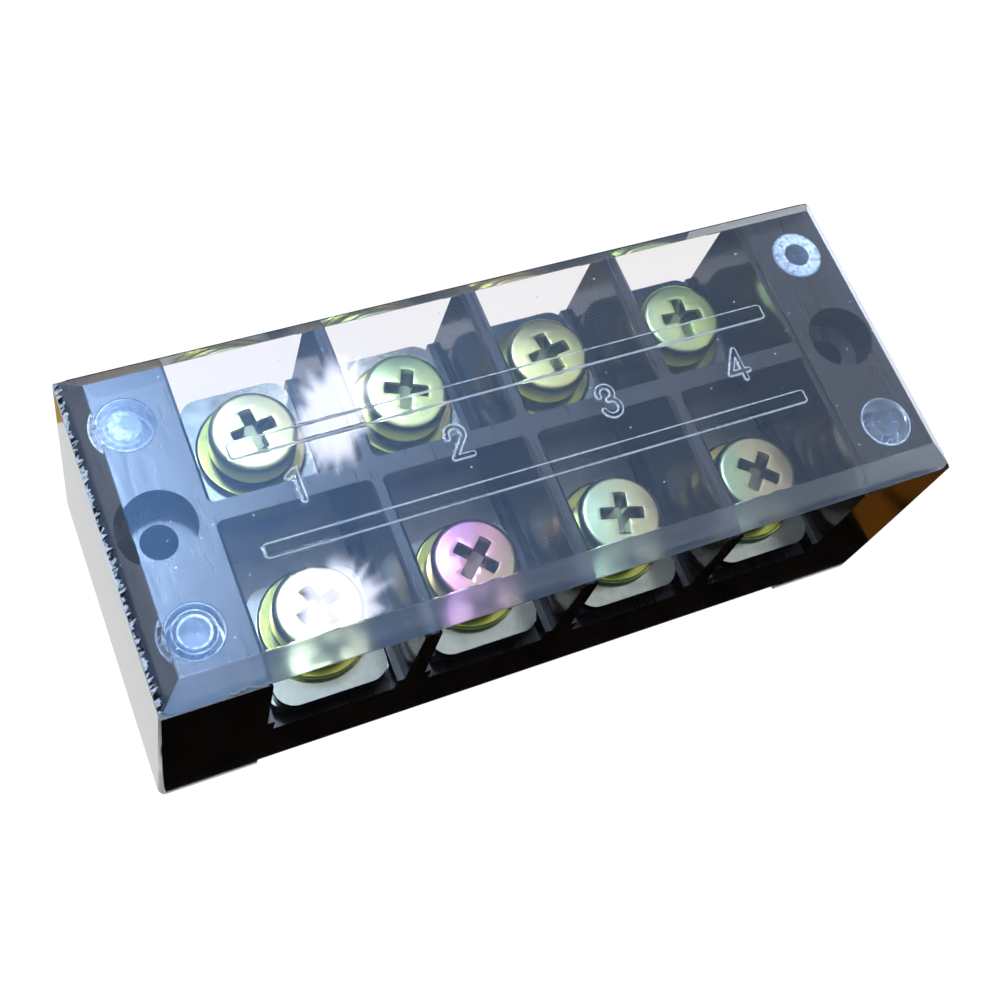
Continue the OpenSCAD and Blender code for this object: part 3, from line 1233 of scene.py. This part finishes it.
@dataclass(frozen=True)
class GlossOnlyGlareCard(Finish):
    """A glowing card seen only in gloss, that paints a glare on the cover: a bright middle with uneven rays.
    """

    strength: float = 26.0
    rays: float = 0.35
    core: float = 0.55

    def surface(self, tree: Tree) -> Socket:
        """Builds the shader and gives its output socket."""
        place = add(tree, "ShaderNodeTexCoord").outputs["Object"]
        reach = add(tree, "ShaderNodeVectorMath", {0: place}, operation="LENGTH")
        flat = add(tree, "ShaderNodeVectorMath", {0: place}, operation="NORMALIZE")
        spread = add(
            tree,
            "ShaderNodeTexNoise",
            {"Vector": flat.outputs["Vector"], "Scale": 5.0, "Detail": 5.0},
        )
        longer = add(
            tree,
            "ShaderNodeMapRange",
            {
                "Value": spread.outputs["Fac"],
                "From Min": 0.38,
                "From Max": 0.68,
                "To Min": 1.0 - self.rays,
                "To Max": 1.0,
            },
        )
        ratio = add(
            tree,
            "ShaderNodeMath",
            {0: reach.outputs["Value"], 1: longer.outputs["Result"]},
            operation="DIVIDE",
        )
        glow = add(
            tree,
            "ShaderNodeMapRange",
            {
                "Value": ratio.outputs[0],
                "From Min": self.core,
                "From Max": 1.0,
                "To Min": 1.0,
                "To Max": 0.0,
            },
            interpolation_type="SMOOTHSTEP",
        )
        sharp = add(tree, "ShaderNodeMath", {0: glow.outputs["Result"], 1: 1.3}, operation="POWER")
        power = add(tree, "ShaderNodeMath", {0: sharp.outputs[0], 1: self.strength}, operation="MULTIPLY")
        return add(
            tree, "ShaderNodeEmission", {"Color": linear("#f1f0ff"), "Strength": power.outputs[0]}
        ).outputs[0]


@dataclass
class Studio:
    """Floor, world, lamps and camera."""

    eye: tuple[float, float, float] = (-67.866, -65.246, 195.975)
    aim: tuple[float, float, float] = (25.248, -11.205, -21.988)
    lens: float = 52.86
    shift: tuple[float, float] = (0.02447, -0.01793)
    floor_size: float = 3.0

    def camera(self) -> None:
        """Sets up the camera."""
        data = bpy.data.cameras.new("view")
        data.lens = self.lens
        data.sensor_width = 36.0
        data.shift_x, data.shift_y = self.shift
        data.clip_start = 0.005
        view = bpy.data.objects.new("view", data)
        view.location = [c * MM for c in self.eye]
        view.rotation_euler = [math.radians(a) for a in self.aim]
        bpy.context.scene.collection.objects.link(view)
        bpy.context.scene.camera = view

    @staticmethod
    def _sheet(name: str, low: tuple[float, float], high: tuple[float, float], z: float) -> bpy.types.Object:
        """Makes a flat staged sheet between two corners, in metres."""
        mesh = bpy.data.meshes.new(name)
        spots = [(low[0], low[1], z), (high[0], low[1], z), (high[0], high[1], z), (low[0], high[1], z)]
        mesh.from_pydata(spots, [], [(0, 1, 2, 3)])
        sheet = bpy.data.objects.new(name, mesh)
        bpy.context.scene.collection.objects.link(sheet)
        return sheet

    def floor(self) -> None:
        """Lays the floor, and three glowing sheets that only gloss picks up: painted reflections of the
        floor, the near-black one in front its painted shadow.
        """
        half = self.floor_size / 2
        floor = self._sheet("floor", (-half, -half), (half, half), 0)
        floor.data.materials.append(PaleFloor("pale_floor").material())
        # Near-black in front of the strip: the floor's painted shadow, seen only in gloss.
        dark = self._sheet("painted_floor_shadow_sheet", (-62 * MM, -150 * MM), (60 * MM, -22.6 * MM), 0.1 * MM)
        dark.data.materials.append(GlossOnlyGlowSheet("painted_floor_shadow_sheet").material())
        # Warm brown beyond the right end: a painted reflection of a lit warm floor.
        warm = self._sheet("painted_warm_floor_sheet", (60 * MM, -110 * MM), (86 * MM, -22.6 * MM), 0.1 * MM)
        warm.data.materials.append(GlossOnlyGlowSheet("painted_warm_floor_sheet", "#7a4a14").material())
        # Grey with gold blotches behind: a painted reflection.
        rear = self._sheet("painted_rear_reflection_sheet", (-90 * MM, 34 * MM), (70 * MM, 150 * MM), 0.1 * MM)
        rear.data.materials.append(GlossOnlyGlowSheet("painted_rear_reflection_sheet", "#5a544e", "#c9a860", 22.0).material())
        for glow_sheet in (dark, warm, rear):
            glow_sheet.visible_camera = False
            glow_sheet.visible_transmission = False
            glow_sheet.visible_diffuse = False
            glow_sheet.visible_shadow = False

    def world(self) -> None:
        """Builds the surroundings: white to the camera, a blue room to gloss, soft grey light elsewhere."""
        world = bpy.data.worlds.new("surroundings")
        bpy.context.scene.world = world
        world.use_nodes = True
        tree = world.node_tree
        tree.nodes.clear()
        path = add(tree, "ShaderNodeLightPath")
        ray = add(tree, "ShaderNodeTexCoord").outputs["Generated"]
        split = add(tree, "ShaderNodeSeparateXYZ", {0: ray})
        side = add(
            tree,
            "ShaderNodeMapRange",
            {"Value": split.outputs["X"], "From Min": -1.0, "From Max": 1.0},
        )
        room = add(tree, "ShaderNodeValToRGB", {"Fac": side.outputs["Result"]})
        ramp = room.color_ramp
        ramp.elements[0].color = linear("#05080f")
        ramp.elements[1].color = linear("#f4f8ff")
        for spot, colour in ((0.3, "#0a1220"), (0.48, "#3a5a7c"), (0.78, "#42648c"), (0.9, "#dfeaf6")):
            ramp.elements.new(spot).color = linear(colour)
        back = add(
            tree,
            "ShaderNodeMapRange",
            {"Value": split.outputs["Y"], "From Min": 0.26, "From Max": 0.46, "To Min": 1.0, "To Max": 0.3},
        )
        dimmed = add(
            tree,
            "ShaderNodeVectorMath",
            {0: room.outputs["Color"], "Scale": back.outputs[0]},
            operation="SCALE",
        )
        soft = add(
            tree,
            "ShaderNodeMix",
            {"Factor": path.outputs["Is Glossy Ray"], "A": linear("#9a9a9a"), "B": dimmed.outputs[0]},
            data_type="RGBA",
        )
        shown = add(
            tree,
            "ShaderNodeMath",
            {0: path.outputs["Is Camera Ray"], 1: path.outputs["Is Transmission Ray"]},
            operation="MAXIMUM",
        )
        seen = add(
            tree,
            "ShaderNodeMix",
            {"Factor": shown.outputs[0], "A": soft.outputs["Result"], "B": linear("#ffffff")},
            data_type="RGBA",
        )
        glow = add(tree, "ShaderNodeBackground", {"Color": seen.outputs["Result"], "Strength": 1.0})
        add(tree, "ShaderNodeOutputWorld", {"Surface": glow.outputs[0]})

    def _mirrored(self, spot: tuple[float, float], reach: float) -> tuple[Vector, Vector]:
        """Gives where a thing stands to be mirrored at one place on the cover's top.

        Args:
            spot: The place on the cover's top, in millimetres.
            reach: The thing's distance from it, in millimetres.

        Returns:
            The thing's place and the place on the cover, in millimetres.
        """
        point = Vector((*spot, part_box("cover")[1].z / MM))
        ray = point - Vector(self.eye)
        ray.z = -ray.z
        return point + ray.normalized() * reach, point

    def key(self, spot: tuple[float, float], reach: float, size: float, watts: float, colour: str) -> None:
        """Adds a round area lamp by where its mirror image falls on the cover's plane.

        Args:
            spot: The place on the cover's plane, in millimetres.
            reach: The lamp's distance from it, in millimetres.
            size: The lamp's diameter, in millimetres.
            watts: The lamp's power.
            colour: The lamp's colour as sRGB hex.
        """
        place, point = self._mirrored(spot, reach)
        data = bpy.data.lights.new("key", "AREA")
        data.shape = "DISK"
        data.size = size * MM
        data.energy = watts
        data.color = linear(colour)[:3]
        lamp = bpy.data.objects.new("key", data)
        lamp.location = place * MM
        lamp.rotation_euler = (point - place).to_track_quat("-Z", "Y").to_euler()
        bpy.context.scene.collection.objects.link(lamp)

    def burst(
        self,
        name: str,
        spot: tuple[float, float],
        reach: float,
        half: tuple[float, float],
        strength: float,
    ) -> None:
        """Adds a staged glowing card whose mirror image is a glare at one place on the cover's top.

        Args:
            name: The card's name.
            spot: The place on the cover's top, in millimetres.
            reach: The card's distance from it, in millimetres.
            half: Half the glare's width and height as it shows on the cover, in millimetres.
            strength: The glow's strength.
        """
        place, point = self._mirrored(spot, reach)
        away = (Vector(self.eye) - point).length
        grown = (away + reach) / away * MM
        card = self._sheet(name, (-1.0, -1.0), (1.0, 1.0), 0)
        card.scale = (half[0] * grown, half[1] * grown, 1.0)
        card.location = place * MM
        card.rotation_euler = (point - place).to_track_quat("Z", "Y").to_euler()
        card.visible_camera = False
        card.visible_transmission = False
        card.visible_diffuse = False
        card.data.materials.append(GlossOnlyGlareCard(f"glow_{name}", strength).material())

    def build(self) -> None:
        """Builds the whole studio."""
        self.camera()
        self.floor()
        self.world()
        self.key((-67.0, 2.0), 600.0, 90.0, 3.0, "#c8e2ff")
        # Two gloss-only glowing cards paint the glares on the cover's top.
        self.burst("rear_painted_glare", (-23.7, 7.0), 600.0, (6.5, 10.0), 24.0)
        self.burst("front_painted_glare", (-31.6, -16.8), 600.0, (7.5, 8.5), 24.0)
        bpy.context.scene.view_settings.view_transform = "Standard"
        LOG.info("studio built")


def corners(bounds: object) -> list[list[float]]:
    """Turns a box of two corners into plain lists."""
    return [[round(c, 6) for c in corner] for corner in bounds]


def main() -> None:
    """Builds the studio, then dresses and builds each sub-assembly in order."""
    logging.basicConfig(level=logging.INFO, format="%(name)s: %(message)s")
    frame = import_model()
    nodes = frame["nodes"]
    Studio().build()
    MouldedBase().dress(nodes)
    for row in Row:
        for pole in POLES:
            TerminalStack(row, pole).dress(nodes)
    ClearCover(CoverSizes()).build()


if __name__ == "__main__":
    main()
